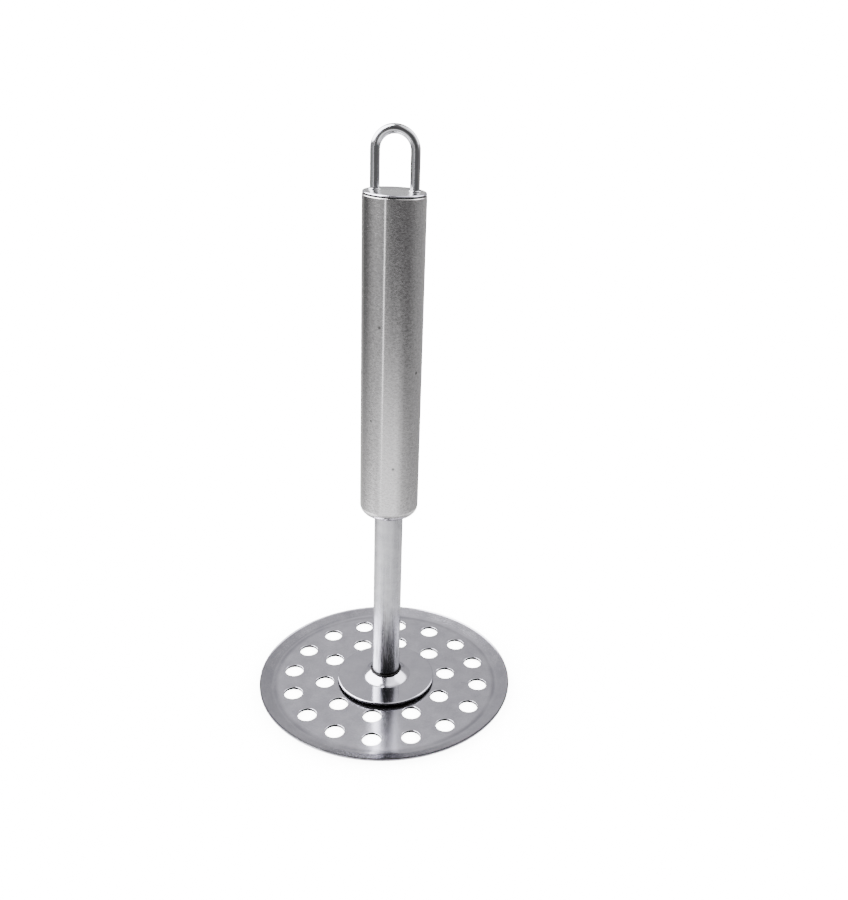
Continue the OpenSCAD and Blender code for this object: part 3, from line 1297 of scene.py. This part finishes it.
# A softbox on the left, a weaker one on the right, and a bright doorway.
PANELS = (
    Panel(-92, 43, 86, 66, 0.12, 15.0, 4.0),
    Panel(108, 36, 54, 46, 0.1, 6.0, 10.0),
    Panel(-32, -10, 3.5, 26, 0.0, 3.4, 1.5),
)


@dataclass
class Studio:
    """A pale sweep, and the room of light and dark panels that the steel reflects.

    Attributes:
        view: The camera's viewpoint.
        sweep_radius: Radius of the pale floor.
        sweep_height: Height of the wall that the floor turns up into.
        sweep_bend: Radius of the bend between floor and wall.
        sweep_thickness: Thickness of the sweep.
        sweep_glow: Brightness of the sweep itself.
    """

    view: Viewpoint
    sweep_radius: float = 1.6
    sweep_height: float = 1.4
    sweep_bend: float = 0.5
    sweep_thickness: float = 0.02
    sweep_glow: float = 8.0

    def build(self) -> None:
        """Build the sweep and the room."""
        self._sweep()
        self._room()

    def _sweep(self) -> None:
        """Build a round floor that turns up into a wall all round."""
        bend, thick = self.sweep_bend, self.sweep_thickness
        flat = self.sweep_radius - bend
        line = [(0.0, 0.0), (flat, 0.0), *arc((flat, bend), bend, -90, 0, 16)]
        line.append((self.sweep_radius, self.sweep_height))
        back = [(r + (thick if r else 0.0), z - thick) for r, z in line[::-1]]
        sweep = lathe("pale sweep", line + back, 96)
        for face in sweep.data.polygons:
            face.use_smooth = True
        paint = bpy.data.materials.new("matt white paper")
        paint.use_nodes = True
        inputs = paint.node_tree.nodes["Principled BSDF"].inputs
        inputs["Base Color"].default_value = linear("#f4f4f4")
        inputs["Roughness"].default_value = 0.9
        inputs["Specular IOR Level"].default_value = 0.1
        inputs["Emission Color"].default_value = linear("#ffffff")
        inputs["Emission Strength"].default_value = self.sweep_glow
        sweep.data.materials.append(paint)
        sweep.visible_glossy = False

    def _room(self) -> None:
        """Paint the room round the masher: its rings first, then its panels."""
        world = bpy.data.worlds.new("studio room")
        bpy.context.scene.world = world
        world.use_nodes = True
        tree = world.node_tree
        tree.nodes.clear()
        towards = add_node(tree, "TexCoord").outputs["Generated"]
        turn = bearing(tree, towards, math.radians(self.view.azimuth - 90.0))
        azimuth = add_node(tree, "Math", turn, operation="DEGREES")
        height = add_node(tree, "SeparateXYZ", towards).outputs["Z"]
        rise = add_node(tree, "Math", height, operation="ARCSINE")
        elevation = add_node(tree, "Math", rise, operation="DEGREES")
        room = self._rings(tree, azimuth, elevation)
        for panel in PANELS:
            room = self._panel(tree, panel, azimuth, elevation, room)
        background = add_node(tree, "Background", room, strength=1.0)
        add_node(tree, "OutputWorld", surface=background)

    def _rings(self, tree: Tree, azimuth: Node, elevation: Node) -> Node:
        """Blend the rings from the floor up.

        Args:
            tree: The world's tree.
            azimuth: Direction in degrees.
            elevation: Height above the horizon in degrees.

        Returns:
            The room's brightness before its panels.
        """
        share = add_node(tree, "MapRange", azimuth, -180.0, 180.0)
        room, below = None, 0
        for height, levels in RINGS.items():
            ramp = add_node(tree, "ValToRGB", share)
            stops = ramp.color_ramp.elements
            while len(stops) < len(levels):
                stops.new(0.5)
            for stop, (turn, level) in zip(stops, levels):
                stop.position = (turn + 180) / 360
                stop.color = (level, level, level, 1.0)
            if room:
                climb = add_node(tree, "MapRange", elevation, below, height)
                ramp = add_node(tree, "Mix", climb, room, ramp, data_type="RGBA")
            room, below = ramp, height
        return room

    def _panel(
        self, tree: Tree, panel: Panel, azimuth: Node, elevation: Node, behind: Node
    ) -> Node:
        """Stand a panel in front of what is there.

        Args:
            tree: The world's tree.
            panel: The panel.
            azimuth: Direction in degrees.
            elevation: Height above the horizon in degrees.
            behind: Brightness of what the panel hides.

        Returns:
            The room's brightness with the panel.
        """
        height = add_node(tree, "Math", elevation, panel.elevation, operation="SUBTRACT")
        lean = {"operation": "MULTIPLY_ADD"}
        leaned = add_node(tree, "Math", height, panel.lean, panel.azimuth, **lean)
        aside = add_node(tree, "Math", azimuth, leaned, operation="SUBTRACT")
        wrapped = add_node(tree, "Math", aside, 180.0, -180.0, operation="WRAP")
        covers = []
        for offset, size in ((wrapped, panel.width), (height, panel.height)):
            away = add_node(tree, "Math", offset, operation="ABSOLUTE")
            ends = [(size + soft) / 2 for soft in (panel.softness, -panel.softness)]
            soft_edge = {"interpolation_type": "SMOOTHSTEP"}
            covers.append(add_node(tree, "MapRange", away, *ends, **soft_edge))
        cover = add_node(tree, "Math", *covers, operation="MULTIPLY")
        light = (panel.level, panel.level, panel.level, 1.0)
        return add_node(tree, "Mix", cover, behind, light, data_type="RGBA")


def main() -> None:
    """Build the masher and the studio round it."""
    logging.basicConfig(level=logging.INFO, format="%(name)s: %(message)s")
    view = Viewpoint()
    view.place()
    Studio(view).build()
    shop = Workshop()
    PlateAndFlange(shop).build()
    StemAndHandle(shop).build()


if __name__ == "__main__":
    main()
